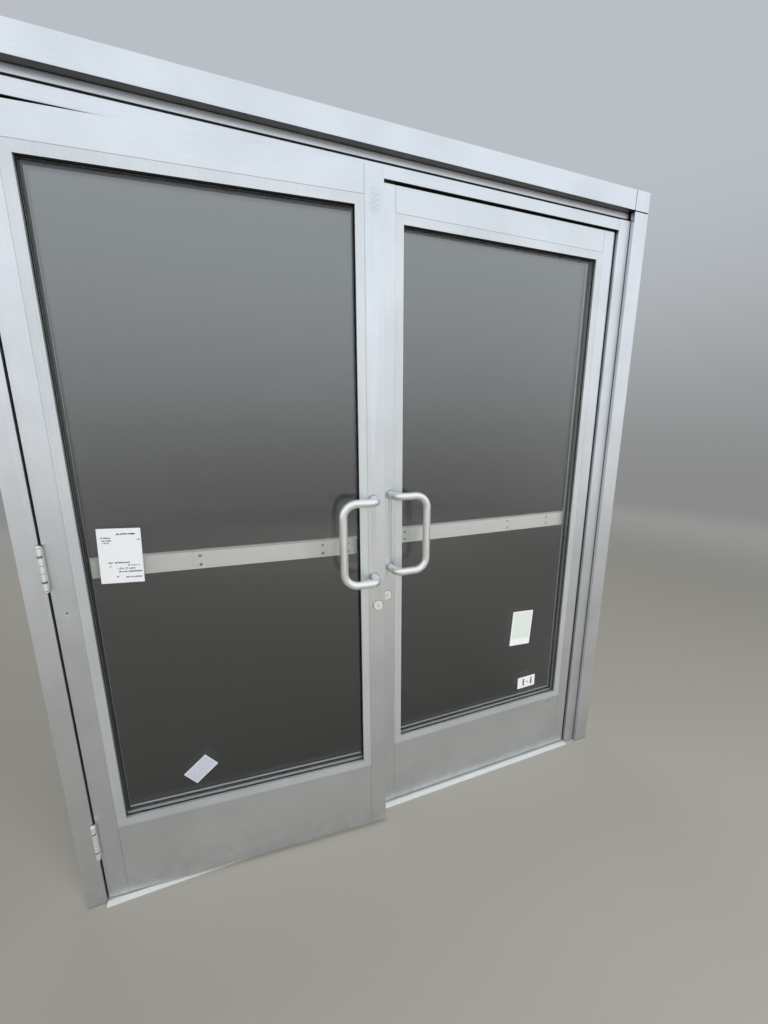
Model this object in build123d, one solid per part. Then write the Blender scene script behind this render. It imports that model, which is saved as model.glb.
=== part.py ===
from build123d import *
import os

# Pair of narrow-stile aluminium storefront doors in their frame. Millimetres, +Z up.
# Origin: floor level, on the line where the closed leaves meet, in the plane of their outer face.
# +X runs to the right seen from outside, +Y runs into the building.

# Door opening, between the jambs and from the floor to the header
opening_width = 1828.8
opening_height = 2133.6

# Frame members around the opening
jamb_face = 50.8
header_face = 34.9
frame_depth = 114.3
frame_proud = 6.35
frame_wall = 3.2
head_joint = 10.4
filler_face = 19.6
filler_setback = 3.2

# Bar above the doors and the outer jamb beside them
bar_face = 63.5
bar_depth = 133.35
bar_proud = 20.6
bar_wall = 3.2
side_joint = 1.6
post_joint = 4.0
joint_seal_depth = 20.0
joint_seal_setback = 2.4

# Threshold
threshold_height = 6.35
threshold_width = 127.0
threshold_nose = 22.2
threshold_bevel = 14.0
threshold_lip = 1.6
threshold_end_gap = 0.8
groove_count = 7
groove_width = 4.0
groove_depth = 1.2
groove_pitch = 10.5
groove_start = 12.0

# Running gaps of the leaves
side_gap = 3.2
meeting_gap = 4.8
top_gap = 5.5
bottom_gap = 3.15

# Leaf members
leaf_depth = 50.8
stile_face = 55.0
top_rail_face = 70.7
bottom_rail_face = 254.0
leaf_wall = 3.2
heel_radius = 12.7

# Glazing
stop_face = 26.0
stop_setback = 0.4
stop_wall = 1.6
stop_lip = 4.0
glass_unit_thickness = 25.4
pane = 6.35
glass_bite = 16.0
gasket_showing = 2.5
gasket_cover = 6.0
gasket_thickness = 3.0
gasket_taper = 1.0
spacer_width = 12.0
block_length = 100.0
block_inset = 1.0
block_place = 0.25

# Tie rods through the rails
rod_diameter = 9.5
rod_hole = 10.5
nut_size = 14.3
nut_height = 8.0
rod_past_nut = 3.0
rod_heights = (60.0, 194.0)

# Pull handles
pull_diameter = 25.4
pull_centres = 254.0
pull_drop = 94.0
pull_inset = 38.0
pull_offset = 107.0
pull_projection = 57.0
pull_root_radius = 26.0
pull_corner_radius = 42.0
pull_screw = 8.0
pull_screw_head = 14.4
pull_screw_depth = 26.0

# Key cylinders
cylinder_backset = 24.6
cylinder_drop = 195.0
cylinder_diameter = 28.6
cylinder_length = 27.0
cylinder_ring = 31.8
ring_height = 5.0
ring_chamfer = 1.2
plug_diameter = 12.7
plug_clearance = 0.05
plug_proud = 0.6
keyway_width = 1.8
keyway_height = 8.5
keyway_depth = 9.0
cam_length = 16.0
cam_width = 8.0
cam_thickness = 4.0
cam_gap = 0.6
case_height = 90.0
case_width = 42.0
case_front = 20.0
case_depth = 24.0
case_wall = 2.5

# Exit devices on the inside
device_height = 1075.0
device_face = 52.0
device_depth = 25.0
device_wall = 3.0
device_edge = 3.0
latch_case_width = 60.0
latch_case_height = 64.0
latch_case_depth = 38.0
latch_case_radius = 5.0
end_cap_inset = 22.0
end_cap_width = 16.0
end_cap_height = 56.0
end_cap_depth = 33.0
pad_start = 66.5
pad_length = 500.0
pad_gap = 0.4
pad_wall = 2.5
pad_travel = 12.7
pad_hold = 1.1
pad_reach = 38.0
pad_crown = 5.0
cover_drop = 3.0
bracket_places = (111.0, 193.0, 551.0, 740.0)
bracket_width = 30.0
bracket_height = 38.0
bracket_depth = 7.0
device_screw_pitch = 27.0

# Concealed top bolts
bolt_inset = 26.0
bolt_diameter = 12.7
bolt_length = 60.0
bolt_travel = 15.9
bolt_below_top = 0.5
bolt_clearance = 0.1
bolt_chamfer = 1.5
bolt_rod = 7.9
lift_arm_height = 10.0
lift_arm_width = 9.0
lift_arm_reach = 24.0
lift_arm_drop = 5.0
lift_arm_clearance = 1.0
guide_height = 18.0
guide_clearance = 0.15
strike_hole = 20.0
header_bolt_hole = 22.0
strike_reach = 35.0
strike_width = 34.0
strike_thickness = 2.5
strike_gap = 1.6

# Butt hinges of the left leaf
barrel_diameter = 12.7
barrel_clear = 0.8
hinge_height = 114.3
knuckle_count = 5
knuckle_gap = 0.8
knuckle_round = 1.2
bearing_height = 3.6
bearing_diameter = 12.2
bearing_round = 0.6
hinge_low = 240.0
hinge_middle = 1105.0
hinge_top_inset = 170.4
hinge_leaf_thickness = 3.0
hinge_leaf_reach = 31.0
pin_diameter = 6.35
pin_clearance = 0.06
tip_height = 4.8
tip_round = 2.9
hinge_screw = 4.8
hinge_screw_head = 9.0
hinge_screw_length = 12.0
hinge_screw_setback = (8.0, 20.0)
backer_thickness = 6.35
backer_margin = 12.0
spare_hole = 5.0
spare_hole_inset = 27.6
spare_hole_height = 975.0

# Pivots of the right leaf
pivot_pin = 9.5
pivot_clearance = 0.06
pivot_depth = 14.0
pivot_plate_length = 50.0
pivot_plate_width = 22.0
pivot_plate_thickness = 2.5
pivot_collar = 16.0
pivot_block_height = 24.0
pivot_block_length = 44.0

# Door stops and seals
stop_strip = 15.9
stop_strip_wall = 2.0
seal_gap = 0.3
seal_thickness = 2.5
seal_width = 8.0
meeting_seal_reach = 1.6
meeting_seal_width = 6.0
meeting_seal_groove = 1.6
meeting_seal_setback = 42.0

# Screws
head_height = 2.0
device_screw = 4.0
device_screw_head = 7.5
case_screw = 5.0
case_screw_head = 9.0
case_screw_inset = 10.0

# Anchor holes for fixing the frame to the building
anchor_hole = 10.0
anchor_low = 300.0
anchor_top_inset = 283.6
floor_hole = 6.5
floor_hole_setback = 86.0
floor_hole_inner = 600.0
floor_hole_outer = 850.0

# How far the left leaf stands open
ajar_angle = 4.204

# How far cutters run past the faces that they cut
cut_past = 1.0

# Worked out from the sizes above
jamb_inner = opening_width / 2
jamb_outer = jamb_inner + jamb_face
frame_front = -frame_proud
frame_back = frame_front + frame_depth
header_top = opening_height + header_face
filler_bottom = header_top + head_joint
bar_bottom = filler_bottom + filler_face
bar_top = bar_bottom + bar_face
bar_front = -bar_proud
bar_back = bar_front + bar_depth
post_inner = jamb_outer + side_joint
post_outer = post_inner + bar_face
anchor_high = opening_height - anchor_top_inset

leaf_bottom = threshold_height + bottom_gap
leaf_top = opening_height - top_gap
meeting_edge = meeting_gap / 2
hinge_edge = jamb_inner - side_gap
glazing_in = meeting_edge + stile_face
glazing_out = hinge_edge - stile_face
glazing_bottom = leaf_bottom + bottom_rail_face
glazing_top = leaf_top - top_rail_face
mid_depth = leaf_depth / 2
glass_front = (leaf_depth - glass_unit_thickness) / 2
glass_back = glass_front + glass_unit_thickness
edge_cover = stop_face - glass_bite
stop_depth = glass_front - stop_setback - gasket_thickness
tie_rod_levels = (leaf_bottom + rod_heights[0], leaf_bottom + rod_heights[1],
                  leaf_top - top_rail_face / 2)
stop_front = leaf_depth + seal_gap + seal_thickness
pad_rest = device_depth - pad_travel - pad_hold
lift_arm_level = device_height - lift_arm_height - lift_arm_drop

hinge_heights = (hinge_low, hinge_middle, leaf_top - hinge_top_inset)
hinge_x = jamb_inner - side_gap / 2
hinge_y = frame_front - barrel_diameter / 2 - barrel_clear
bearing_gap = bearing_height + 2 * knuckle_gap
pivot_x = hinge_edge - heel_radius
pivot_y = heel_radius
lock_x = meeting_edge + cylinder_backset
bolt_x = meeting_edge + bolt_inset
pull_x = meeting_edge + pull_inset
pull_levels = (device_height - pull_drop, device_height - pull_drop + pull_centres)
cylinder_height = device_height - cylinder_drop


def block(x0, x1, y0, y1, z0, z1):
    """A box between two corners."""
    middle = ((x0 + x1) / 2, (y0 + y1) / 2, (z0 + z1) / 2)
    return Pos(*middle) * Box(x1 - x0, y1 - y0, z1 - z0)


def rod(diameter, start, direction, length):
    """A round bar from a point along a direction."""
    plane = Plane(origin=start, z_dir=direction)
    return extrude(plane * Circle(diameter / 2), amount=length)


def bore(diameter, start, direction, depth):
    """A round cutter that runs a little past both ends of its hole."""
    outside = Vector(*start) - cut_past * Vector(*direction)
    return rod(diameter, outside, direction, depth + 2 * cut_past)


def tube_up(x0, x1, y0, y1, z0, z1, wall):
    """A rectangular tube standing on end, open at both ends."""
    inside = block(x0 + wall, x1 - wall, y0 + wall, y1 - wall, z0 - cut_past, z1 + cut_past)
    return block(x0, x1, y0, y1, z0, z1) - inside


def tube_across(x0, x1, y0, y1, z0, z1, wall):
    """A rectangular tube lying along X, open at both ends."""
    inside = block(x0 - cut_past, x1 + cut_past, y0 + wall, y1 - wall, z0 + wall, z1 - wall)
    return block(x0, x1, y0, y1, z0, z1) - inside


def strip(section, corner, across, back, along, length):
    """A section of (across, back) points, run along a direction from a corner."""
    plane = Plane(origin=corner, x_dir=across, z_dir=Vector(*across).cross(Vector(*back)))
    face = plane * make_face(Polyline(*section, close=True))
    return extrude(face, amount=length, dir=along)


# The left side is the mirror image of the right one
def to_left(pieces):
    """Mirror pieces from the right half to the left half."""
    return [mirror(piece, about=Plane.YZ) for piece in pieces]


def to_ajar(pieces):
    """Swing pieces of the closed left leaf out to where it stands."""
    axis = Axis((-hinge_x, hinge_y, 0), (0, 0, 1))
    return [piece.rotate(axis, -ajar_angle) for piece in pieces]


# Frame
def hinge_mortises(edge, outwards):
    """Notches in a member's wall, one for each hinge leaf, open at the front."""
    cuts = []
    for height in hinge_heights:
        low = height - hinge_height / 2
        sides = sorted((edge, edge + outwards * frame_wall))
        cuts.append(block(sides[0], sides[1], -frame_depth, hinge_leaf_reach, low, low + hinge_height))
    return cuts


def jamb(with_hinges):
    body = tube_up(jamb_inner, jamb_outer, frame_front, frame_back, 0, header_top, frame_wall)
    if with_hinges:
        body -= hinge_mortises(jamb_inner, 1)
        for level in (anchor_low, anchor_high):
            body -= bore(anchor_hole, (jamb_outer, frame_depth / 2, level), (-1, 0, 0), frame_wall)
    return body


def header():
    body = tube_across(-jamb_inner, jamb_inner, frame_front, frame_back,
                       opening_height, header_top, frame_wall)
    for x in (-bolt_x, bolt_x):
        body -= bore(header_bolt_hole, (x, mid_depth, opening_height), (0, 0, 1), frame_wall)
    body -= bore(pivot_collar, (pivot_x, pivot_y, opening_height), (0, 0, 1), frame_wall)
    return body


def strike_plates():
    """Plates on the header's lower wall, side by side across the meeting line."""
    floor = opening_height + frame_wall
    half = strike_width / 2
    plate = block(strike_gap / 2, bolt_x + strike_reach, mid_depth - half, mid_depth + half,
                  floor, floor + strike_thickness)
    plate -= bore(strike_hole, (bolt_x, mid_depth, floor), (0, 0, 1), strike_thickness)
    return [plate] + to_left([plate])


def door_stops():
    inner = jamb_inner - stop_strip
    back = stop_front + stop_strip
    side = tube_up(inner, jamb_inner, stop_front, back, threshold_height, opening_height, stop_strip_wall)
    head = tube_across(-inner, inner, stop_front, back, opening_height - stop_strip,
                       opening_height, stop_strip_wall)
    return [side, head] + to_left([side])


def seal_section():
    half = seal_width / 2
    bulge = ThreePointArc((-half, seal_thickness), (0, 0), (half, seal_thickness))
    return make_face(bulge + Line((half, seal_thickness), (-half, seal_thickness)))


def stop_seals():
    middle = jamb_inner - stop_strip / 2
    front = stop_front - seal_thickness
    head_level = opening_height - stop_strip / 2
    run = head_level - seal_width / 2 - threshold_height
    upright = Plane(origin=(middle, front, threshold_height), x_dir=(1, 0, 0), z_dir=(0, 0, 1))
    side = extrude(upright * seal_section(), amount=run)
    reach = jamb_inner - stop_strip
    level = Plane(origin=(-reach, front, head_level), x_dir=(0, 0, -1), z_dir=(1, 0, 0))
    head = extrude(level * seal_section(), amount=2 * reach)
    return [side, head] + to_left([side])


def frame_seals():
    """Joint sealant: over the door frame, and between the right jamb and the outer jamb."""
    front = frame_front + joint_seal_setback
    over = block(-jamb_outer, jamb_outer, filler_setback, filler_setback + joint_seal_depth,
                 header_top, filler_bottom)
    beside = block(jamb_outer, post_inner, front, front + joint_seal_depth, 0, bar_bottom)
    above = block(jamb_outer, post_inner, front, front + joint_seal_depth, bar_bottom, bar_top)
    post = block(post_inner, post_outer, bar_front + joint_seal_setback,
                 bar_front + joint_seal_setback + joint_seal_depth, bar_bottom - post_joint, bar_bottom)
    return [over, beside, above, post]


def head_filler():
    return tube_across(-jamb_outer, jamb_outer, filler_setback, frame_back,
                       filler_bottom, bar_bottom, frame_wall)


def transom_bar():
    return tube_across(-jamb_outer, jamb_outer, bar_front, bar_back, bar_bottom, bar_top, bar_wall)


def outer_jamb():
    """The long lower length and the short length beside the bar."""
    lower = tube_up(post_inner, post_outer, bar_front, bar_back, 0, bar_bottom - post_joint, bar_wall)
    for level in (anchor_low, anchor_high):
        lower -= bore(anchor_hole, (post_outer, frame_depth / 2, level), (-1, 0, 0), bar_wall)
    upper = tube_up(post_inner, post_outer, bar_front, bar_back, bar_bottom, bar_top, bar_wall)
    return [lower, upper]


def threshold():
    reach = jamb_inner - threshold_end_gap
    front = -threshold_nose
    back = front + threshold_width
    outline = [(front, 0), (front, threshold_lip), (front + threshold_bevel, threshold_height),
               (back - threshold_bevel, threshold_height), (back, threshold_lip), (back, 0)]
    body = strip(outline, (-reach, 0, 0), (0, 1, 0), (0, 0, 1), (1, 0, 0), 2 * reach)
    for index in range(groove_count):
        y = groove_start + index * groove_pitch
        body -= block(-reach, reach, y, y + groove_width, threshold_height - groove_depth, threshold_height)
    for x in (-floor_hole_outer, -floor_hole_inner, floor_hole_inner, floor_hole_outer):
        body -= bore(floor_hole, (x, floor_hole_setback, 0), (0, 0, 1), threshold_height)
    pocket = pivot_plate_outline(threshold_height - pivot_plate_thickness, threshold_height)
    return body - pocket


# Pivots of the right leaf
def pivot_plate_outline(low, high):
    """Plate that reaches from just past the pivot's centre towards the middle of the leaf."""
    half = pivot_plate_width / 2
    outer = pivot_x + half
    return block(outer - pivot_plate_length, outer, pivot_y - half, pivot_y + half, low, high)


def pivot_pins():
    """Pin on a plate in the header, and pin with a collar on a plate in the threshold."""
    floor = opening_height + frame_wall
    top = pivot_plate_outline(floor, floor + pivot_plate_thickness)
    drop = frame_wall + top_gap + pivot_depth
    top += rod(pivot_pin, (pivot_x, pivot_y, floor - drop), (0, 0, 1), drop)
    bottom = pivot_plate_outline(threshold_height - pivot_plate_thickness, threshold_height)
    collar = bottom_gap - pivot_clearance
    bottom += rod(pivot_collar, (pivot_x, pivot_y, threshold_height), (0, 0, 1), collar)
    bottom += rod(pivot_pin, (pivot_x, pivot_y, threshold_height), (0, 0, 1), bottom_gap + pivot_depth)
    return [top, bottom]


def pivot_blocks():
    """Bearing blocks in the two ends of the right hinge stile."""
    blocks = []
    for low in (leaf_bottom, leaf_top - pivot_block_height):
        body = block(hinge_edge - leaf_wall - pivot_block_length, hinge_edge - leaf_wall, leaf_wall,
                     leaf_depth - leaf_wall, low, low + pivot_block_height)
        body = fillet(outer_edges(body), heel_radius - leaf_wall)
        hole = pivot_pin + 2 * pivot_clearance
        body -= bore(hole, (pivot_x, pivot_y, low), (0, 0, 1), pivot_block_height)
        blocks.append(body)
    return blocks


# Butt hinges of the left leaf, drawn on the right side
def knuckle_spans():
    """Height ranges of one hinge's knuckles above its lower end, with a bearing inside each end one."""
    gaps = [bearing_gap] + [knuckle_gap] * (knuckle_count - 3) + [bearing_gap]
    height = (hinge_height - sum(gaps)) / knuckle_count
    spans = [(0, height)]
    for gap in gaps:
        bottom = spans[-1][1] + gap
        spans.append((bottom, bottom + height))
    return spans


def hinge_leaf(edge, outwards, first, low):
    """One plate with its knuckles: outwards is +1 on the jamb and -1 on the door."""
    sides = sorted((edge, edge + outwards * hinge_leaf_thickness))
    plate = block(sides[0], sides[1], hinge_y, hinge_leaf_reach, low, low + hinge_height)
    plate -= bore(barrel_diameter + 2 * knuckle_gap, (hinge_x, hinge_y, low), (0, 0, 1), hinge_height)
    for bottom, top in knuckle_spans()[first::2]:
        neck = block(sides[0], sides[1], hinge_y, hinge_y + barrel_diameter, low + bottom, low + top)
        barrel = rod(barrel_diameter, (hinge_x, hinge_y, low + bottom), (0, 0, 1), top - bottom)
        plate += fillet(barrel.edges().filter_by(GeomType.CIRCLE), knuckle_round) + neck
    plate -= bore(pin_diameter + 2 * pin_clearance, (hinge_x, hinge_y, low), (0, 0, 1), hinge_height)
    for seat in hinge_screw_seats(edge, outwards, low):
        plate -= countersunk(seat, outwards, hinge_screw_head, hinge_screw, 2 * hinge_leaf_thickness)
    return plate


def hinge_screw_seats(edge, outwards, low):
    """Four screw places on a plate, two columns set over by turns."""
    seats = []
    for row in range(4):
        level = low + hinge_height * (row + 0.5) / 4
        seats.append((edge, hinge_screw_setback[row % 2], level))
    return seats


def countersunk(seat, outwards, head, shank, length):
    """A flat-head screw, its head flush with the seat and its shank going outwards along X."""
    plane = Plane(origin=seat, z_dir=(outwards, 0, 0))
    depth = (head - shank) / 2
    body = loft([plane * Circle(head / 2), plane.offset(depth) * Circle(shank / 2)])
    return body + extrude(plane.offset(depth) * Circle(shank / 2), amount=length - depth)


def hinge_fixings(edge, outwards):
    """Screws and the plates that they bite, behind the member's wall."""
    pieces = []
    inside = edge + outwards * frame_wall
    sides = sorted((inside, inside + outwards * backer_thickness))
    for height in hinge_heights:
        low = height - hinge_height / 2
        backer = block(sides[0], sides[1], frame_wall, hinge_leaf_reach + backer_margin,
                       low - backer_margin, low + hinge_height + backer_margin)
        seats = hinge_screw_seats(edge, outwards, low)
        for seat in seats:
            start = (inside, seat[1], seat[2])
            backer -= rod(hinge_screw, start, (outwards, 0, 0), backer_thickness)
            pieces.append(countersunk(seat, outwards, hinge_screw_head, hinge_screw, hinge_screw_length))
        pieces.append(backer)
    return pieces


def hinge_bearings():
    """Rings on each pin, under the top knuckle and over the bottom one."""
    spans = knuckle_spans()
    rings = []
    for height in hinge_heights:
        low = height - hinge_height / 2
        for top in (spans[0][1], spans[-2][1]):
            start = (hinge_x, hinge_y, low + top + knuckle_gap)
            ring = rod(bearing_diameter, start, (0, 0, 1), bearing_height)
            ring = fillet(ring.edges().filter_by(GeomType.CIRCLE), bearing_round)
            rings.append(ring - bore(pin_diameter + 2 * pin_clearance, start, (0, 0, 1), bearing_height))
    return rings


def hinge_pins():
    pins = []
    for height in hinge_heights:
        low = height - hinge_height / 2
        start = (hinge_x, hinge_y, low - tip_height / 2)
        pin = rod(pin_diameter, start, (0, 0, 1), hinge_height + tip_height)
        for base, direction in ((low, -1), (low + hinge_height, 1)):
            seat = base + direction * knuckle_gap
            tip = rod(barrel_diameter, (hinge_x, hinge_y, seat), (0, 0, direction), tip_height)
            rim = tip.edges().filter_by(GeomType.CIRCLE).sort_by(Axis.Z)[-1 if direction > 0 else 0]
            pin += fillet(rim, tip_round)
        pins.append(pin)
    return pins


# Leaf members, drawn for the closed right leaf
def meeting_stile(with_seal):
    body = tube_up(meeting_edge, glazing_in, 0, leaf_depth, leaf_bottom, leaf_top, leaf_wall)
    for level in tie_rod_levels:
        body -= bore(rod_hole, (glazing_in, mid_depth, level), (-1, 0, 0), leaf_wall)
    for level in pull_levels:
        body -= bore(pull_screw, (pull_x, 0, level), (0, 1, 0), leaf_depth)
    body -= bore(cylinder_diameter, (lock_x, 0, cylinder_height), (0, 1, 0), leaf_wall)
    slot_low = lift_arm_level - lift_arm_drop
    slot_high = lift_arm_level + lift_arm_height + bolt_travel + lift_arm_drop
    half = lift_arm_width / 2 + lift_arm_clearance
    body -= block(bolt_x - half, bolt_x + half, leaf_depth - leaf_wall - cut_past, leaf_depth + cut_past,
                  slot_low, slot_high)
    for seat in case_screw_seats():
        body -= countersunk(seat, 1, case_screw_head, case_screw, leaf_wall + cut_past)
    if with_seal:
        half = meeting_seal_width / 2
        body -= block(meeting_edge, meeting_edge + meeting_seal_groove, meeting_seal_setback - half,
                      meeting_seal_setback + half, leaf_bottom, leaf_top)
    return body


def hinge_stile(pivoted):
    body = block(glazing_out, hinge_edge, 0, leaf_depth, leaf_bottom, leaf_top)
    hollow = block(glazing_out + leaf_wall, hinge_edge - leaf_wall, leaf_wall, leaf_depth - leaf_wall,
                   leaf_bottom, leaf_top)
    if pivoted:
        body = fillet(outer_edges(body), heel_radius)
        hollow = fillet(outer_edges(hollow), heel_radius - leaf_wall)
    body -= hollow
    for level in tie_rod_levels:
        body -= bore(rod_hole, (glazing_out, mid_depth, level), (1, 0, 0), leaf_wall)
    if not pivoted:
        body -= hinge_mortises(hinge_edge, -1)
        start = (hinge_edge - spare_hole_inset, 0, spare_hole_height)
        body -= bore(spare_hole, start, (0, 1, 0), leaf_wall)
    return body


def outer_edges(body):
    """The two upright edges at the hinge side."""
    return body.edges().filter_by(Axis.Z).sort_by(Axis.X)[-2:]


def top_rail():
    return tube_across(glazing_in, glazing_out, 0, leaf_depth, glazing_top, leaf_top, leaf_wall)


def bottom_rail():
    return tube_across(glazing_in, glazing_out, 0, leaf_depth, leaf_bottom, glazing_bottom, leaf_wall)


def tie_rods():
    pieces = []
    nut_in = glazing_in - leaf_wall
    nut_out = glazing_out + leaf_wall
    past = nut_height + rod_past_nut
    for level in tie_rod_levels:
        start = (nut_in - past, mid_depth, level)
        pieces.append(rod(rod_diameter, start, (1, 0, 0), nut_out - nut_in + 2 * past))
        for place, direction in ((nut_in, -1), (nut_out, 1)):
            plane = Plane(origin=(place, mid_depth, level), z_dir=(direction, 0, 0))
            hexagon = RegularPolygon(nut_size / 2, 6, major_radius=False) - Circle(rod_diameter / 2)
            pieces.append(extrude(plane * hexagon, amount=nut_height))
    return pieces


# Glazing
def glass_stop_section():
    """Hollow snap-in stop: flat face, two legs, and a lip that holds the gasket."""
    inner = stop_face - stop_wall
    lip = stop_face - stop_lip
    return [(0, 0), (stop_face, 0), (stop_face, stop_depth), (lip, stop_depth),
            (lip, stop_depth - stop_wall), (inner, stop_depth - stop_wall), (inner, stop_wall),
            (stop_wall, stop_wall), (stop_wall, stop_depth), (0, stop_depth)]


def gasket_section():
    low = stop_face - gasket_cover
    high = stop_face + gasket_showing
    back = stop_depth + gasket_thickness
    return [(low, stop_depth), (high, stop_depth), (high - gasket_taper, back), (low, back)]


def glazing_strips(section, corner_reach):
    """Strips of one section round the glass, outside and inside: uprights run through."""
    strips = []
    rise = glazing_top - glazing_bottom
    run = glazing_out - glazing_in - 2 * corner_reach
    for face, back in ((stop_setback, (0, 1, 0)), (leaf_depth - stop_setback, (0, -1, 0))):
        for x, across in ((glazing_in, (1, 0, 0)), (glazing_out, (-1, 0, 0))):
            corner = (x, face, glazing_bottom)
            strips.append(strip(section, corner, across, back, (0, 0, 1), rise))
        for z, across in ((glazing_bottom, (0, 0, 1)), (glazing_top, (0, 0, -1))):
            corner = (glazing_in + corner_reach, face, z)
            strips.append(strip(section, corner, across, back, (1, 0, 0), run))
    return strips


def glass_stops():
    return glazing_strips(glass_stop_section(), stop_face)


def glazing_gaskets():
    return glazing_strips(gasket_section(), stop_face + gasket_showing)


def glass_panes():
    panes = []
    for front in (glass_front, glass_back - pane):
        panes.append(block(glazing_in + edge_cover, glazing_out - edge_cover, front, front + pane,
                           glazing_bottom + edge_cover, glazing_top - edge_cover))
    return panes


def pane_spacer():
    low_x = glazing_in + edge_cover
    high_x = glazing_out - edge_cover
    low_z = glazing_bottom + edge_cover
    high_z = glazing_top - edge_cover
    front = glass_front + pane
    back = glass_back - pane
    ring = block(low_x, high_x, front, back, low_z, high_z)
    return ring - block(low_x + spacer_width, high_x - spacer_width, front, back,
                        low_z + spacer_width, high_z - spacer_width)


def setting_blocks():
    blocks = []
    for share in (block_place, 1 - block_place):
        middle = glazing_in + share * (glazing_out - glazing_in)
        blocks.append(block(middle - block_length / 2, middle + block_length / 2, glass_front + block_inset,
                            glass_back - block_inset, glazing_bottom, glazing_bottom + edge_cover))
    return blocks


# Pull handle
def pull_handle():
    """One round bar bent out from the stile, sideways over the glass, and down."""
    low, high = pull_levels
    reach = pull_x + pull_offset
    route = [(pull_x, 0, high), (pull_x, -pull_projection, high), (reach, -pull_projection, high),
             (reach, -pull_projection, low), (pull_x, -pull_projection, low), (pull_x, 0, low)]
    radii = [pull_root_radius, pull_corner_radius, pull_corner_radius, pull_root_radius]
    path = FilletPolyline(*route, radius=radii)
    start = Plane(origin=route[0], z_dir=(0, -1, 0))
    bar = sweep(start * Circle(pull_diameter / 2), path=path)
    for level in pull_levels:
        bar -= bore(pull_screw, (pull_x, 0, level), (0, -1, 0), pull_screw_depth)
    return bar


# Key cylinder
def cylinder_body():
    body = rod(cylinder_diameter, (lock_x, 0, cylinder_height), (0, 1, 0), cylinder_length)
    ring = rod(cylinder_ring, (lock_x, 0, cylinder_height), (0, -1, 0), ring_height)
    rim = ring.edges().filter_by(GeomType.CIRCLE).sort_by(Axis.Y)[0]
    body += chamfer(rim, ring_chamfer)
    return body - bore(plug_diameter + 2 * plug_clearance, (lock_x, -ring_height, cylinder_height),
                       (0, 1, 0), cylinder_length + ring_height)


def key_plug():
    front = -ring_height - plug_proud
    cam_front = cylinder_length + cam_gap
    back = cam_front + cam_thickness
    body = rod(plug_diameter, (lock_x, front, cylinder_height), (0, 1, 0), back - front)
    half = keyway_width / 2
    body -= block(lock_x - half, lock_x + half, front - cut_past, front + keyway_depth,
                  cylinder_height - keyway_height / 2, cylinder_height + keyway_height / 2)
    cam = block(lock_x - cam_width / 2, lock_x + cam_width / 2, cam_front, back,
                cylinder_height - cam_length, cylinder_height)
    return body + cam


def lock_case():
    left = meeting_edge + leaf_wall
    low = cylinder_height - case_height / 2
    high = cylinder_height + case_height / 2
    body = block(left, left + case_width, case_front, case_front + case_depth, low, high)
    body -= block(left + case_wall, left + case_width - case_wall, case_front + case_wall,
                  case_front + case_depth - case_wall, low + case_wall, high - case_wall)
    body -= bore(cylinder_diameter, (lock_x, case_front, cylinder_height), (0, 1, 0), case_wall)
    for seat in case_screw_seats():
        body -= bore(case_screw, (left, seat[1], seat[2]), (1, 0, 0), case_wall)
    return body


def case_screw_seats():
    """Flat-head screws through the leaf's edge into the lock case."""
    offset = case_height / 2 - case_screw_inset
    middle = case_front + case_depth / 2
    return [(meeting_edge, middle, cylinder_height + sign * offset) for sign in (-1, 1)]


# Exit device
def device_span():
    """Ends of the base rail, between the latch case and the end cap."""
    start = meeting_edge + device_edge + latch_case_width
    end = hinge_edge - end_cap_inset - end_cap_width
    return start, end


def exit_rail():
    """Channel on the stiles' inner faces, with the pad's brackets fixed in it."""
    start, end = device_span()
    low = device_height - device_face / 2
    high = device_height + device_face / 2
    back = leaf_depth
    body = block(start, end, back, back + device_depth, low, high)
    body -= block(start, end, back + device_wall, back + device_depth, low + device_wall, high - device_wall)
    for place in bracket_places:
        middle = meeting_edge + place
        body += block(middle - bracket_width / 2, middle + bracket_width / 2, back + device_wall,
                      back + device_wall + bracket_depth, device_height - bracket_height / 2,
                      device_height + bracket_height / 2)
    for x, z in device_screw_places():
        body -= bore(device_screw, (x, back, z), (0, 1, 0), device_wall + bracket_depth)
    return body


def device_screw_places():
    places = []
    for place in bracket_places:
        for sign in (-1, 1):
            places.append((meeting_edge + place, device_height + sign * device_screw_pitch / 2))
    return places


def pad_section(height, front, reach, crown):
    """Open-backed channel with a crowned face, as (z, y) points and an arc."""
    half = height / 2
    outer = Polyline((-half, reach), (-half, front), (-half + pad_wall, front),
                     (-half + pad_wall, reach - pad_wall), (half - pad_wall, reach - pad_wall),
                     (half - pad_wall, front), (half, front), (half, reach))
    face = ThreePointArc((half, reach), (0, reach + crown), (-half, reach))
    return make_face(outer + face)


def along_door(section, start, length):
    """Run a (z, y) section along the leaf."""
    plane = Plane(origin=(start, leaf_depth, device_height), x_dir=(0, 0, 1), z_dir=(-1, 0, 0))
    return extrude(plane * section, amount=length, dir=(1, 0, 0))


def push_pad():
    height = device_face - 2 * device_wall - 2 * pad_gap
    section = pad_section(height, pad_rest, pad_reach, pad_crown)
    start = meeting_edge + pad_start
    body = along_door(section, start, pad_length)
    solid_end = block(start, start + pad_wall, leaf_depth + pad_rest, leaf_depth + pad_reach,
                      device_height - height / 2, device_height + height / 2)
    other_end = Pos(pad_length - pad_wall, 0, 0) * solid_end
    return body + solid_end + other_end


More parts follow.
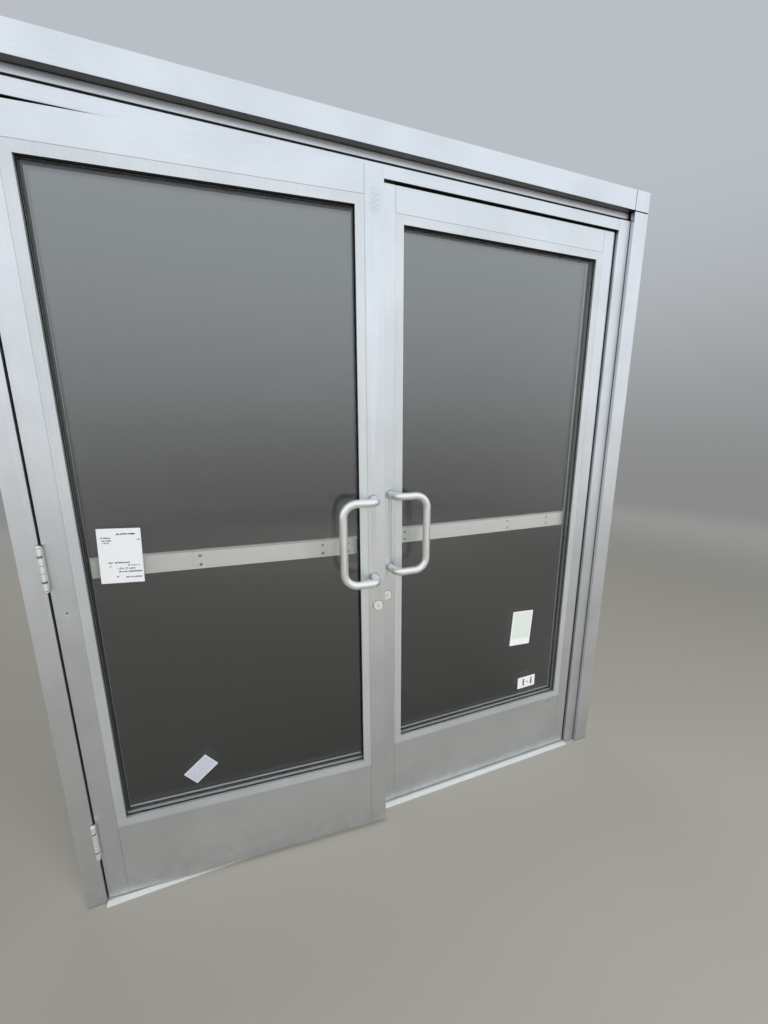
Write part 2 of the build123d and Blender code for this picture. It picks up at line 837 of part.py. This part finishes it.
def exit_covers():
    """Latch case, filler cover beside the pad, and end cap."""
    start, end = device_span()
    left = meeting_edge + device_edge
    low = device_height - latch_case_height / 2
    high = device_height + latch_case_height / 2
    case = block(left, start, leaf_depth, leaf_depth + latch_case_depth, low, high)
    case = fillet(case.edges().group_by(Axis.Y)[-1], latch_case_radius)
    case -= block(left + case_wall, start - case_wall, leaf_depth, leaf_depth + latch_case_depth - case_wall,
                  low + case_wall, high - case_wall)
    height = device_face - 2 * device_wall
    cover_start = meeting_edge + pad_start + pad_length + pad_gap
    section = pad_section(height, device_wall + bracket_depth, device_depth - pad_wall, cover_drop)
    cover = along_door(section, cover_start, end - cover_start)
    cap = block(end, end + end_cap_width, leaf_depth, leaf_depth + end_cap_depth,
                device_height - end_cap_height / 2, device_height + end_cap_height / 2)
    cap = fillet(cap.edges().group_by(Axis.Y)[-1], latch_case_radius)
    return [case, cover, cap]


# Concealed top bolt
def top_bolt():
    top = leaf_top - bolt_below_top
    bolt = rod(bolt_diameter, (bolt_x, mid_depth, top - bolt_length), (0, 0, 1), bolt_length)
    bolt = chamfer(bolt.edges().filter_by(GeomType.CIRCLE).sort_by(Axis.Z)[-1], bolt_chamfer)
    foot = lift_arm_level - lift_arm_drop
    bolt += rod(bolt_rod, (bolt_x, mid_depth, foot), (0, 0, 1), top - bolt_length - foot)
    half = lift_arm_width / 2
    bolt += block(bolt_x - half, bolt_x + half, mid_depth, leaf_depth + lift_arm_reach,
                  lift_arm_level, lift_arm_level + lift_arm_height)
    return bolt


def bolt_guide():
    side = leaf_wall + guide_clearance
    body = block(meeting_edge + side, glazing_in - side, side, leaf_depth - side,
                 leaf_top - guide_height, leaf_top)
    return body - bore(bolt_diameter + 2 * bolt_clearance, (bolt_x, mid_depth, leaf_top - guide_height),
                       (0, 0, 1), guide_height)


# Screws that show on a leaf
def pan_screw(diameter, head, seat, direction, length):
    """A head standing against its seat and a shank running the other way."""
    back = tuple(-part for part in direction)
    cap = rod(head, seat, direction, head_height)
    return cap + rod(diameter, seat, back, length)


def hardware_screws():
    screws = []
    for level in pull_levels:
        length = leaf_depth + pull_screw_depth
        screws.append(pan_screw(pull_screw, pull_screw_head, (pull_x, leaf_depth, level), (0, 1, 0), length))
    for x, z in device_screw_places():
        length = device_wall + bracket_depth
        screws.append(pan_screw(device_screw, device_screw_head, (x, leaf_depth, z), (0, -1, 0), length))
    for seat in case_screw_seats():
        screws.append(countersunk(seat, 1, case_screw_head, case_screw, leaf_wall + case_wall))
    return screws


def meeting_seal():
    half = meeting_seal_width / 2
    return block(meeting_edge - meeting_seal_reach, meeting_edge + meeting_seal_groove,
                 meeting_seal_setback - half, meeting_seal_setback + half, leaf_bottom, leaf_top)


def leaf(pivoted):
    """All pieces of one closed right-hand leaf, by name."""
    return {
        "meeting_stile": [meeting_stile(pivoted)],
        "hinge_stile": [hinge_stile(pivoted)],
        "top_rail": [top_rail()],
        "bottom_rail": [bottom_rail()],
        "glass_stops": glass_stops(),
        "glazing_gaskets": glazing_gaskets(),
        "glass_panes": glass_panes(),
        "pane_spacer": [pane_spacer()],
        "setting_blocks": setting_blocks(),
        "tie_rods": tie_rods(),
        "pull_handle": [pull_handle()],
        "cylinder_body": [cylinder_body()],
        "key_plug": [key_plug()],
        "lock_case": [lock_case()],
        "exit_rail": [exit_rail()],
        "push_pad": [push_pad()],
        "exit_covers": exit_covers(),
        "top_bolt": [top_bolt()],
        "bolt_guide": [bolt_guide()],
        "hardware_screws": hardware_screws(),
    }


def hinge_leaves(edge, outwards, first):
    return [hinge_leaf(edge, outwards, first, height - hinge_height / 2) for height in hinge_heights]


nodes = {
    "left_jamb": to_left([jamb(True)]),
    "right_jamb": [jamb(False)],
    "header": [header()],
    "strike_plates": strike_plates(),
    "door_stops": door_stops(),
    "stop_seals": stop_seals(),
    "frame_seals": frame_seals(),
    "head_filler": [head_filler()],
    "transom_bar": [transom_bar()],
    "outer_jamb": outer_jamb(),
    "threshold": [threshold()],
    "pivot_pins": pivot_pins(),
    "jamb_hinge_leaves": to_left(hinge_leaves(jamb_inner, 1, 0)),
    "jamb_hinge_fixings": to_left(hinge_fixings(jamb_inner, 1)),
    "hinge_pins": to_left(hinge_pins()),
    "hinge_bearings": to_left(hinge_bearings()),
    "door_hinge_leaves": to_ajar(to_left(hinge_leaves(hinge_edge, -1, 1))),
    "door_hinge_fixings": to_ajar(to_left(hinge_fixings(hinge_edge, -1))),
    "pivot_blocks": pivot_blocks(),
    "meeting_seal": [meeting_seal()],
}
for name, pieces in leaf(True).items():
    nodes["right_" + name] = pieces
for name, pieces in leaf(False).items():
    nodes["left_" + name] = to_ajar(to_left(pieces))

os.makedirs("parts", exist_ok=True)
for name, pieces in nodes.items():
    solids = [solid for piece in pieces for solid in piece.solids()]
    export_step(Compound(children=solids), "parts/" + name + ".step")

print("nodes", len(nodes))
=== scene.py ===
import math
import random

import bmesh
import bpy
from mathutils import Matrix, Vector


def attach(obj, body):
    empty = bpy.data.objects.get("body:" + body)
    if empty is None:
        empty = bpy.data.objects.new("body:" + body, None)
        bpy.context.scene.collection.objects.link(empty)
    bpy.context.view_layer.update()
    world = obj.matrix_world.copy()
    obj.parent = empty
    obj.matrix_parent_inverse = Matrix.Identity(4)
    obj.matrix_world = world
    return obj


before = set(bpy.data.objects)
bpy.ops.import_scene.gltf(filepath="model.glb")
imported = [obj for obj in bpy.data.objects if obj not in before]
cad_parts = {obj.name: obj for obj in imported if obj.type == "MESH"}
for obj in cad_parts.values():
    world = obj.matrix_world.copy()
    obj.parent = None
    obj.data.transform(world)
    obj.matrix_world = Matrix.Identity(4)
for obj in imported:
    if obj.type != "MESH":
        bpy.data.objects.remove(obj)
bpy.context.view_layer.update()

MM = 0.001

# The left leaf stands ajar: its hinge line and its lean
left_hinge = Vector((-912.8, -13.5, 0.0)) * MM
left_lean = math.radians(-4.204)

# Labels lie just off the outer face of the outer pane
pane_face = 12.7 * MM
label_thickness = 0.15 * MM
label_stand_off = 0.16 * MM


# Colours and nodes
def colour(code):
    """sRGB hex to the linear colour that a shader takes."""
    parts = [int(code[i:i + 2], 16) / 255 for i in (1, 3, 5)]
    linear = [c / 12.92 if c <= 0.04045 else ((c + 0.055) / 1.055) ** 2.4 for c in parts]
    return (*linear, 1.0)


def add(tree, kind, inputs=None, **settings):
    """Add a node with its settings, and fill or link its inputs by name or number."""
    made = tree.nodes.new(kind)
    for name, value in settings.items():
        setattr(made, name, value)
    for name, value in (inputs or {}).items():
        if isinstance(value, bpy.types.NodeSocket):
            tree.links.new(value, made.inputs[name])
        else:
            made.inputs[name].default_value = value
    return made


def new_material(name):
    """An empty material, with its tree and the object coordinates."""
    made = bpy.data.materials.new(name)
    made.use_nodes = True
    tree = made.node_tree
    tree.nodes.clear()
    return made, tree, add(tree, "ShaderNodeTexCoord").outputs["Object"]


def close(tree, inputs):
    """Finish a material with its shader and its output, and hand both back."""
    shader = add(tree, "ShaderNodeBsdfPrincipled", inputs)
    output = add(tree, "ShaderNodeOutputMaterial", {"Surface": shader.outputs["BSDF"]})
    return shader, output


def anodised(name, along, light, dark, roughness, metallic, reach, shade_share, marks):
    """Clear anodised aluminium, extruded: an even satin grey, with die lines along its length,
    slow clouds in the oxide, dull patches from hands, painted shade of the given share in corners
    within reach, painted shade on undersides, and a faint film of dirt near the floor.
    Marks are rubbed or soiled spots in millimetres: x, z, half width, half height, tone."""
    made, tree, place = new_material(name)
    # Clouds about 220 mm across
    clouds = add(tree, "ShaderNodeTexNoise", {"Vector": place, "Scale": 1 / 0.22, "Detail": 3.0})
    tone = add(tree, "ShaderNodeMapRange", {"Value": clouds.outputs["Fac"], "From Min": 0.35,
                                            "From Max": 0.65})
    base = add(tree, "ShaderNodeMix", {0: tone.outputs["Result"], 6: colour(dark), 7: colour(light)},
               data_type="RGBA")
    # Die lines are about 0.3 mm apart, drawn 3 mm apart so that they show
    sizes = {"X": (600, 3, 3), "Z": (3, 3, 600)}[along]
    stretch = add(tree, "ShaderNodeMapping", {"Vector": place,
                                              "Scale": [1 / (size * MM) for size in sizes]})
    lines = add(tree, "ShaderNodeTexNoise", {"Vector": stretch.outputs["Vector"], "Scale": 1.0,
                                             "Detail": 3.0, "Roughness": 0.6})
    shade = add(tree, "ShaderNodeMapRange", {"Value": lines.outputs["Fac"], "From Min": 0.3,
                                             "From Max": 0.7, "To Min": 0.95, "To Max": 1.0})
    lined = add(tree, "ShaderNodeVectorMath", {0: base.outputs[2], 1: shade.outputs["Result"]},
                operation="MULTIPLY").outputs["Vector"]
    # Dull patches, about 70 mm across
    patches = add(tree, "ShaderNodeTexNoise", {"Vector": place, "Scale": 1 / 0.07, "Detail": 6.0,
                                               "Roughness": 0.68})
    satin = add(tree, "ShaderNodeMapRange", {"Value": patches.outputs["Fac"], "From Min": 0.35,
                                             "From Max": 0.7, "To Min": roughness - 0.03,
                                             "To Max": roughness + 0.06})
    # Specks of about 6 mm, which break up each mark
    specks = add(tree, "ShaderNodeTexNoise", {"Vector": place, "Scale": 1 / 0.006, "Detail": 4.0,
                                              "Roughness": 0.65})
    broken = add(tree, "ShaderNodeMapRange", {"Value": specks.outputs["Fac"], "From Min": 0.42,
                                              "From Max": 0.62})
    for x, z, half_width, half_height, mark_tone in marks:
        scale = (1 / (half_width * MM), 0.0, 1 / (half_height * MM))
        centred = add(tree, "ShaderNodeMapping", {"Vector": place, "Scale": scale,
                                                  "Location": (-x / half_width, 0.0, -z / half_height)})
        distance = add(tree, "ShaderNodeVectorMath", {0: centred.outputs["Vector"]}, operation="LENGTH")
        spot = add(tree, "ShaderNodeMapRange", {"Value": distance.outputs["Value"], "From Min": 1.0,
                                                "From Max": 0.5, "To Max": 0.6})
        mark = add(tree, "ShaderNodeMath", {0: spot.outputs["Result"], 1: broken.outputs["Result"]},
                   operation="MULTIPLY")
        lined = add(tree, "ShaderNodeMix", {0: mark.outputs["Value"], 6: lined, 7: colour(mark_tone)},
                    data_type="RGBA").outputs[2]
    # Painted shade where surfaces meet, and painted shade on their undersides
    open_air = add(tree, "ShaderNodeAmbientOcclusion", {"Distance": reach * MM}, samples=6)
    joint_shade = add(tree, "ShaderNodeMapRange", {"Value": open_air.outputs["AO"], "From Min": 0.5,
                                             "From Max": 1.0, "To Min": shade_share, "To Max": 0.0})
    # Faces turned downward are darkened: painted shade
    faces = add(tree, "ShaderNodeNewGeometry").outputs["True Normal"]
    slope = add(tree, "ShaderNodeSeparateXYZ", {0: faces}).outputs["Z"]
    down = add(tree, "ShaderNodeMapRange", {"Value": slope, "From Min": -0.5, "From Max": -0.9,
                                            "To Max": 0.85})
    shade_mask = add(tree, "ShaderNodeMath", {0: joint_shade.outputs["Result"], 1: down.outputs["Result"]},
               operation="MAXIMUM")
    lined = add(tree, "ShaderNodeMix", {0: shade_mask.outputs["Value"], 6: lined, 7: colour("#3B3B39")},
                data_type="RGBA").outputs[2]
    # A dull film of dirt over the lowest 150 mm, patchy at about 40 mm
    height = add(tree, "ShaderNodeSeparateXYZ", {"Vector": place}).outputs["Z"]
    rise = add(tree, "ShaderNodeMapRange", {"Value": height, "From Min": 0.0, "From Max": 0.15,
                                            "To Min": 0.30, "To Max": 0.0})
    spots = add(tree, "ShaderNodeTexNoise", {"Vector": place, "Scale": 1 / 0.04, "Detail": 6.0,
                                             "Roughness": 0.7})
    film = add(tree, "ShaderNodeMapRange", {"Value": spots.outputs["Fac"], "From Min": 0.3,
                                            "From Max": 0.7})
    dirt = add(tree, "ShaderNodeMath", {0: rise.outputs["Result"], 1: film.outputs["Result"]},
               operation="MULTIPLY").outputs["Value"]
    soiled = add(tree, "ShaderNodeMix", {0: dirt, 6: lined, 7: colour("#7A746A")}, data_type="RGBA")
    dull = add(tree, "ShaderNodeMix", {0: dirt, 2: satin.outputs["Result"], 3: 0.8}, data_type="FLOAT")
    bump = add(tree, "ShaderNodeBump", {"Height": lines.outputs["Fac"], "Strength": 0.06,
                                        "Distance": 0.2 * MM})
    close(tree, {"Base Color": soiled.outputs[2], "Roughness": dull.outputs[0], "Metallic": metallic,
                 "Normal": bump.outputs["Normal"]})
    return made


def grained(name, light, dark, roughness, metallic, grain, depth, reach=0.0, shine=0.5):
    """A surface with a fine grain, its size and depth in millimetres, in its tone and relief,
    and painted shade within reach of where it meets another."""
    made, tree, place = new_material(name)
    noise = add(tree, "ShaderNodeTexNoise", {"Vector": place, "Scale": 1 / (grain * MM), "Detail": 4.0,
                                             "Roughness": 0.6})
    tone = add(tree, "ShaderNodeMapRange", {"Value": noise.outputs["Fac"], "From Min": 0.35,
                                            "From Max": 0.65})
    surface = add(tree, "ShaderNodeMix", {0: tone.outputs["Result"], 6: colour(dark), 7: colour(light)},
                  data_type="RGBA").outputs[2]
    if reach:
        # Painted shade where the part meets another, within reach
        open_air = add(tree, "ShaderNodeAmbientOcclusion", {"Distance": reach * MM}, samples=4)
        joint_shade = add(tree, "ShaderNodeMapRange", {"Value": open_air.outputs["AO"], "From Min": 0.25,
                                                 "From Max": 0.75, "To Min": 0.9, "To Max": 0.0})
        surface = add(tree, "ShaderNodeMix", {0: joint_shade.outputs["Result"], 6: surface,
                                              7: colour("#2F2F2D")}, data_type="RGBA").outputs[2]
    bump = add(tree, "ShaderNodeBump", {"Height": noise.outputs["Fac"], "Strength": 0.3,
                                        "Distance": depth * MM})
    close(tree, {"Base Color": surface, "Roughness": roughness, "Metallic": metallic,
                 "Specular IOR Level": shine, "Normal": bump.outputs["Normal"]})
    return made


def float_glass(name, tint):
    """Lightly tinted float glass: sharp reflections, and faint upright streaks left by wiping."""
    made, tree, place = new_material(name)
    # Streaks about 25 mm wide and 400 mm long
    stretch = add(tree, "ShaderNodeMapping", {"Vector": place, "Scale": (1 / 0.025, 1 / 0.025, 1 / 0.4)})
    streaks = add(tree, "ShaderNodeTexNoise", {"Vector": stretch.outputs["Vector"], "Scale": 1.0,
                                               "Detail": 3.0})
    smear = add(tree, "ShaderNodeMapRange", {"Value": streaks.outputs["Fac"], "From Min": 0.6,
                                             "From Max": 0.8, "To Max": 0.015})
    body, output = close(tree, {"Base Color": colour(tint), "Roughness": smear.outputs["Result"],
                                "IOR": 1.52, "Transmission Weight": 1.0})
    # A pane throws a tinted shadow, not a black one
    shadow = add(tree, "ShaderNodeBsdfTransparent", {"Color": colour("#FAFAF9")})
    both = add(tree, "ShaderNodeMixShader", {0: add(tree, "ShaderNodeLightPath").outputs["Is Shadow Ray"],
                                             1: body.outputs["BSDF"], 2: shadow.outputs["BSDF"]})
    tree.links.new(both.outputs["Shader"], output.inputs["Surface"])
    return made


# Soiled or rubbed spots: the left meeting stile's top, round the spare hole, under the right glass
stile_marks = [(-29.1, 2045, 20, 42, "#AEB6BE"), (-882.7, 975, 10, 11, "#F4F6F6")]
rail_marks = [(803, 247, 24, 11, "#8D918F"), (788, 252, 15, 6, "#E6E9E9")]

# The extrusions share one anodising; the beads are duller, and the strip under the bar gets a shorter
# reach of painted shade
uprights = anodised("anodised aluminium uprights", "Z", "#DFE2E5", "#D7DADD", 0.36, 0.94, 6, 0.6,
                    stile_marks)
lengths = anodised("anodised aluminium lengths", "X", "#DFE2E5", "#D7DADD", 0.36, 0.94, 10, 0.85,
                   rail_marks)
less_shaded = anodised("sheltered anodised aluminium", "X", "#DFE2E5", "#D7DADD", 0.36, 0.94, 4, 0.85, ())
beads = anodised("matt anodised aluminium beads", "Z", "#DCE0E2", "#D2D6D8", 0.44, 0.72, 2.5, 0.7,
                 rail_marks)
# Hardware: a drawn and brushed handle bar, a bare bright threshold, an even enamel on the exit
# devices, and plated or oiled steel and brass with a fine turned or ground grain
satin_bar = grained("satin aluminium bar", "#EEEFED", "#E6E7E5", 0.30, 0.92, 0.7, 0.02, reach=7)
mill = grained("mill finish aluminium", "#F6F6F3", "#E2E2DD", 0.42, 0.5, 1.5, 0.05)
device = grained("silver stove enamel", "#F7F6F4", "#F0EFED", 0.45, 0.0, 0.8, 0.02)
steel = grained("satin plated steel", "#F2F2F0", "#E6E6E4", 0.34, 0.7, 0.8, 0.03, reach=3)
oiled = grained("oiled bearing steel", "#9A9C9C", "#868888", 0.36, 1.0, 0.8, 0.02)
zinc = grained("zinc plated steel", "#C4C5C2", "#ADAEAB", 0.34, 1.0, 0.8, 0.03)
nickel = grained("satin nickel brass", "#F5F5F2", "#EAEAE6", 0.26, 0.7, 0.5, 0.02, reach=3)
# Seals and glazing: dull black rubber and silicone, a pale spacer and nearly neutral glass
rubber = grained("extruded black rubber", "#0F0F0F", "#080808", 0.7, 0.0, 1.0, 0.05, shine=0.2)
# This black silicone also fills the joint over the door header, a dark strip where there is only a shadow
# gap: painted shade
sealant_and_shadow_gap = grained("black silicone sealant", "#101010", "#090909", 0.5, 0.0, 2.0, 0.10, shine=0.2)
spacer = grained("mill finish aluminium spacer", "#DDE2E0", "#D0D5D3", 0.5, 0.3, 0.8, 0.02)
tinted = float_glass("tinted float glass", "#ECEDEC")
# Matt printed paper, some of it faded by the sun
paper = grained("label paper", "#F4F6F8", "#ECEEF1", 0.75, 0.0, 0.6, 0.02)
pale_paper = grained("label backing paper", "#E2EAE4", "#D8E1DA", 0.6, 0.0, 0.6, 0.02)
faded_paper = grained("faded label paper", "#DCDFE3", "#D2D5D9", 0.75, 0.0, 0.6, 0.02)
lilac = grained("faded label print", "#CACFE0", "#BEC4D8", 0.75, 0.0, 0.6, 0.02)
ink = grained("label ink", "#8A8C93", "#6C6E76", 0.7, 0.0, 0.6, 0.01)
dark_ink = grained("dark label ink", "#4A4C55", "#33353C", 0.7, 0.0, 0.6, 0.01)

# Each node's finish, by its name without the side
finishes = {
    uprights: ("jamb", "outer_jamb", "meeting_stile", "hinge_stile"),
    less_shaded: ("head_filler",),
    lengths: ("header", "transom_bar", "door_stops", "top_rail", "bottom_rail"),
    beads: ("glass_stops",),
    mill: ("threshold",),
    device: ("exit_rail", "push_pad", "exit_covers", "bolt_guide"),
    steel: ("jamb_hinge_leaves", "door_hinge_leaves", "hinge_pins"),
    oiled: ("hinge_bearings",),
    zinc: ("strike_plates", "pivot_pins", "pivot_blocks", "jamb_hinge_fixings", "door_hinge_fixings",
           "tie_rods", "lock_case", "top_bolt", "hardware_screws"),
    nickel: ("cylinder_body", "key_plug"),
    satin_bar: ("pull_handle",),
    rubber: ("stop_seals", "meeting_seal", "glazing_gaskets", "setting_blocks"),
    sealant_and_shadow_gap: ("frame_seals",),
    spacer: ("pane_spacer",),
    tinted: ("glass_panes",),
}
look_of = {name: look for look, names in finishes.items() for name in names}
for name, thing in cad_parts.items():
    thing.data.materials.clear()
    thing.data.materials.append(look_of[name.removeprefix("left_").removeprefix("right_")])

# Small rounded arrises, which catch the light and draw the joints. The jambs and the left hinge
# stile go without, because the bevel draws dark lines between the holes in their faces.
arris = 1.0 * MM
stop_arris = 2.0 * MM
arris_angle = math.radians(50)
seam = 0.005 * MM
soft_edged = ("left_meeting_stile", "right_meeting_stile", "right_hinge_stile", "left_glass_stops",
              "right_glass_stops", "left_top_rail", "right_top_rail", "left_bottom_rail",
              "right_bottom_rail", "header", "head_filler", "transom_bar")
for name in soft_edged:
    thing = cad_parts[name]
    weld = thing.modifiers.new("weld", "WELD")
    weld.merge_threshold = seam
    bevel = thing.modifiers.new("arris", "BEVEL")
    bevel.width = stop_arris if "stops" in name else arris
    bevel.segments = 2
    bevel.limit_method = "ANGLE"
    bevel.angle_limit = arris_angle


# Labels on the glass
def label(name, side, centre, size, lean, papers, marks, cell):
    """A sheet on the outer pane, divided into cells, of which some are printed: marks are
    (ink, left, right, top, bottom, share) in parts of the sheet, with a share of their cells inked."""
    width, height = size
    across, up = round(width / cell), round(height / cell)
    draw = random.Random(name)
    mesh = bmesh.new()
    bmesh.ops.create_grid(mesh, x_segments=across, y_segments=up, size=0.5)
    for face in mesh.faces:
        middle = face.calc_center_median()
        x, y = middle.x + 0.5, 0.5 - middle.y
        for ink_number, left, right, top, bottom, share in marks:
            if left < x < right and top < y < bottom and draw.random() < share:
                face.material_index = ink_number
    bmesh.ops.solidify(mesh, geom=mesh.faces[:], thickness=label_thickness)
    bmesh.ops.recalc_face_normals(mesh, faces=mesh.faces)
    place = (Matrix.Translation((centre[0] * MM, pane_face - label_stand_off, centre[1] * MM))
             @ Matrix.Rotation(math.radians(90), 4, "X") @ Matrix.Rotation(math.radians(lean), 4, "Z")
             @ Matrix.Diagonal((width * MM, height * MM, 1, 1)))
    if side == "left":
        place = (Matrix.Translation(left_hinge) @ Matrix.Rotation(left_lean, 4, "Z")
                 @ Matrix.Translation(-left_hinge) @ place)
    bmesh.ops.transform(mesh, matrix=place, verts=mesh.verts)
    data = bpy.data.meshes.new(name)
    mesh.to_mesh(data)
    mesh.free()
    for look in papers:
        data.materials.append(look)
    piece = bpy.data.objects.new(name, data)
    bpy.context.scene.collection.objects.link(piece)
    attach(piece, side + "_leaf")


fine_cell = 2.0
coarse_cell = 5.0
# A heading, short lines at the left and a looser list below, all as bars
list_rows = [
    (2, 0.44, 0.86, 0.09, 0.12, 0.9), (1, 0.08, 0.30, 0.16, 0.18, 0.8),
    (1, 0.08, 0.30, 0.21, 0.23, 0.6), (1, 0.10, 0.28, 0.25, 0.27, 0.4),
    (1, 0.90, 0.96, 0.20, 0.22, 0.8), (2, 0.20, 0.30, 0.61, 0.64, 0.7),
    (1, 0.34, 0.70, 0.61, 0.63, 0.8), (1, 0.60, 0.92, 0.66, 0.69, 0.5),
    (2, 0.22, 0.27, 0.67, 0.70, 0.6), (1, 0.40, 0.80, 0.72, 0.75, 0.5),
    (1, 0.42, 0.97, 0.78, 0.81, 0.8), (1, 0.36, 0.42, 0.87, 0.89, 0.8),
    (1, 0.58, 0.96, 0.88, 0.91, 0.8),
]
faded_block = [(1, 0.05, 0.95, 0.1, 0.9, 0.8)]
backing_block = [(1, 0.05, 0.95, 0.04, 0.80, 1.0)]
three_blocks = [(2, 0.30, 0.38, 0.2, 0.8, 0.9), (2, 0.74, 0.82, 0.2, 0.8, 0.9),
                (2, 0.52, 0.58, 0.45, 0.58, 1.0)]
label("left_large_label", "left", (-744.0, 1117.1), (103.8, 153.1), -2.3, (paper, ink, dark_ink),
      list_rows, fine_cell)
label("left_small_label", "left", (-610.5, 394.2), (88.4, 54.7), 40.6, (faded_paper, lilac),
      faded_block, fine_cell)
label("right_large_label", "right", (632.1, 630.3), (99.7, 151.4), -3.4, (paper, pale_paper),
      backing_block, coarse_cell)
label("right_small_label", "right", (680.2, 366.8), (89.2, 52.1), 1.2, (paper, ink, dark_ink),
      three_blocks, fine_cell)

# Floor, fading into the backdrop between 3 and 8 m from the doors
floor_mesh = bmesh.new()
bmesh.ops.create_grid(floor_mesh, x_segments=1, y_segments=1, size=12.0)
floor_data = bpy.data.meshes.new("studio_floor")
floor_mesh.to_mesh(floor_data)
floor_mesh.free()
floor = bpy.data.objects.new("studio_floor", floor_data)
bpy.context.scene.collection.objects.link(floor)
floor_look, tree, place = new_material("matt pale floor")
far = add(tree, "ShaderNodeVectorMath", {0: place}, operation="LENGTH")
fade = add(tree, "ShaderNodeMapRange", {"Value": far.outputs["Value"], "From Min": 3.0, "From Max": 8.0},
           interpolation_type="SMOOTHSTEP")
# Pale in sight and in metal; through the glass it is painted dark, a painted shade that makes the floor
# behind the doors read as a dim floor indoors
through = add(tree, "ShaderNodeLightPath").outputs["Is Transmission Ray"]
floor_shade_through_glass = add(tree, "ShaderNodeMix", {0: through, 6: colour("#C3BEB3"), 7: colour("#52504E")},
            data_type="RGBA")
matt = add(tree, "ShaderNodeBsdfPrincipled", {"Base Color": floor_shade_through_glass.outputs[2], "Roughness": 0.85})
clear = add(tree, "ShaderNodeBsdfTransparent")
blend = add(tree, "ShaderNodeMixShader", {0: fade.outputs["Result"], 1: matt.outputs["BSDF"],
                                          2: clear.outputs["BSDF"]})
add(tree, "ShaderNodeOutputMaterial", {"Surface": blend.outputs["Shader"]})
floor_data.materials.append(floor_look)

# Studio: bright and rising in front of the doors, a calm grey backdrop behind them, which is
# dim through the glass. It is warmer low down and cooler above.
world = bpy.data.worlds.new("studio")
bpy.context.scene.world = world
world.use_nodes = True
tree = world.node_tree
tree.nodes.clear()
toward = add(tree, "ShaderNodeTexCoord").outputs["Generated"]
heading = add(tree, "ShaderNodeSeparateXYZ", {"Vector": toward})
up = heading.outputs["Z"]
front = add(tree, "ShaderNodeMapRange", {"Value": up, "From Min": -0.44, "From Max": 0.15,
                                         "To Min": 0.40, "To Max": 1.22},
            interpolation_type="SMOOTHSTEP")
backdrop = add(tree, "ShaderNodeMapRange", {"Value": up, "From Min": -0.15, "From Max": 0.45,
                                            "To Min": 0.38, "To Max": 0.78},
               interpolation_type="SMOOTHSTEP")
indoors = add(tree, "ShaderNodeMapRange", {"Value": up, "From Min": -0.15, "From Max": 0.45,
                                           "To Min": 0.03, "To Max": 0.27},
              interpolation_type="SMOOTHSTEP")
facing = add(tree, "ShaderNodeMapRange", {"Value": heading.outputs["Y"], "From Min": 0.45,
                                          "From Max": -0.45}, interpolation_type="SMOOTHSTEP")
ray = add(tree, "ShaderNodeLightPath")
behind = add(tree, "ShaderNodeMix", {0: ray.outputs["Is Transmission Ray"], 2: backdrop.outputs["Result"],
                                     3: indoors.outputs["Result"]}, data_type="FLOAT")
level = add(tree, "ShaderNodeMix", {0: facing.outputs["Result"], 2: behind.outputs[0],
                                    3: front.outputs["Result"]}, data_type="FLOAT")
# In plain sight it is a quarter dimmer than in metal, and it adds little to the lamps
seen = add(tree, "ShaderNodeMath", {0: level.outputs[0], 1: 0.75}, operation="MULTIPLY")
calm = add(tree, "ShaderNodeMix", {0: ray.outputs["Is Camera Ray"], 2: level.outputs[0],
                                   3: seen.outputs["Value"]}, data_type="FLOAT")
ambient = add(tree, "ShaderNodeMath", {0: level.outputs[0], 1: 0.2}, operation="MULTIPLY")
strength = add(tree, "ShaderNodeMix", {0: ray.outputs["Is Diffuse Ray"], 2: calm.outputs[0],
                                       3: ambient.outputs["Value"]}, data_type="FLOAT")
rise = add(tree, "ShaderNodeMapRange", {"Value": up, "From Min": -0.3, "From Max": 0.3})
air = add(tree, "ShaderNodeMix", {0: rise.outputs["Result"], 6: colour("#F6F4F1"), 7: colour("#EBF2F9")},
          data_type="RGBA")
sky = add(tree, "ShaderNodeBackground", {"Color": air.outputs[2], "Strength": strength.outputs[0]})
add(tree, "ShaderNodeOutputWorld", {"Surface": sky.outputs["Background"]})


def softbox(name, place, aim, size, watts):
    """A soft lamp that isn't seen itself, in sight, in metal or through glass."""
    data = bpy.data.lights.new(name, "AREA")
    data.shape = "RECTANGLE"
    data.size, data.size_y = size
    data.energy = watts
    lamp = bpy.data.objects.new(name, data)
    lamp.visible_glossy = False
    lamp.visible_transmission = False
    lamp.visible_camera = False
    bpy.context.scene.collection.objects.link(lamp)
    direction = Vector(aim) - Vector(place)
    lamp.matrix_world = Matrix.Translation(place) @ direction.to_track_quat("-Z", "Y").to_matrix().to_4x4()


softbox("front_light", (1.0, -4.5, 2.4), (0.2, 0.0, 1.0), (4.0, 2.4), watts=195)
softbox("back_light", (0.0, 4.5, 2.4), (0.0, 0.0, 1.0), (4.0, 2.4), watts=60)

# The photograph's view: a wide lens at eye level, turned right, tipped down and tilted
eye = (-0.445977, -1.225770, 1.465278)
turned, tipped, tilted = -21.2193, -11.5242, 4.6362
camera_data = bpy.data.cameras.new("camera")
camera_data.sensor_width = 36.0
camera_data.lens = 14.2117
camera_data.clip_start = 0.02
camera = bpy.data.objects.new("camera", camera_data)
bpy.context.scene.collection.objects.link(camera)
aim = (Matrix.Rotation(math.radians(tilted), 4, "Y") @ Matrix.Rotation(math.radians(tipped), 4, "X")
       @ Matrix.Rotation(math.radians(turned), 4, "Z") @ Matrix.Rotation(math.radians(90.0), 4, "X"))
camera.matrix_world = Matrix.Translation(eye) @ aim
bpy.context.scene.camera = camera

bpy.context.scene.view_settings.view_transform = "Standard"
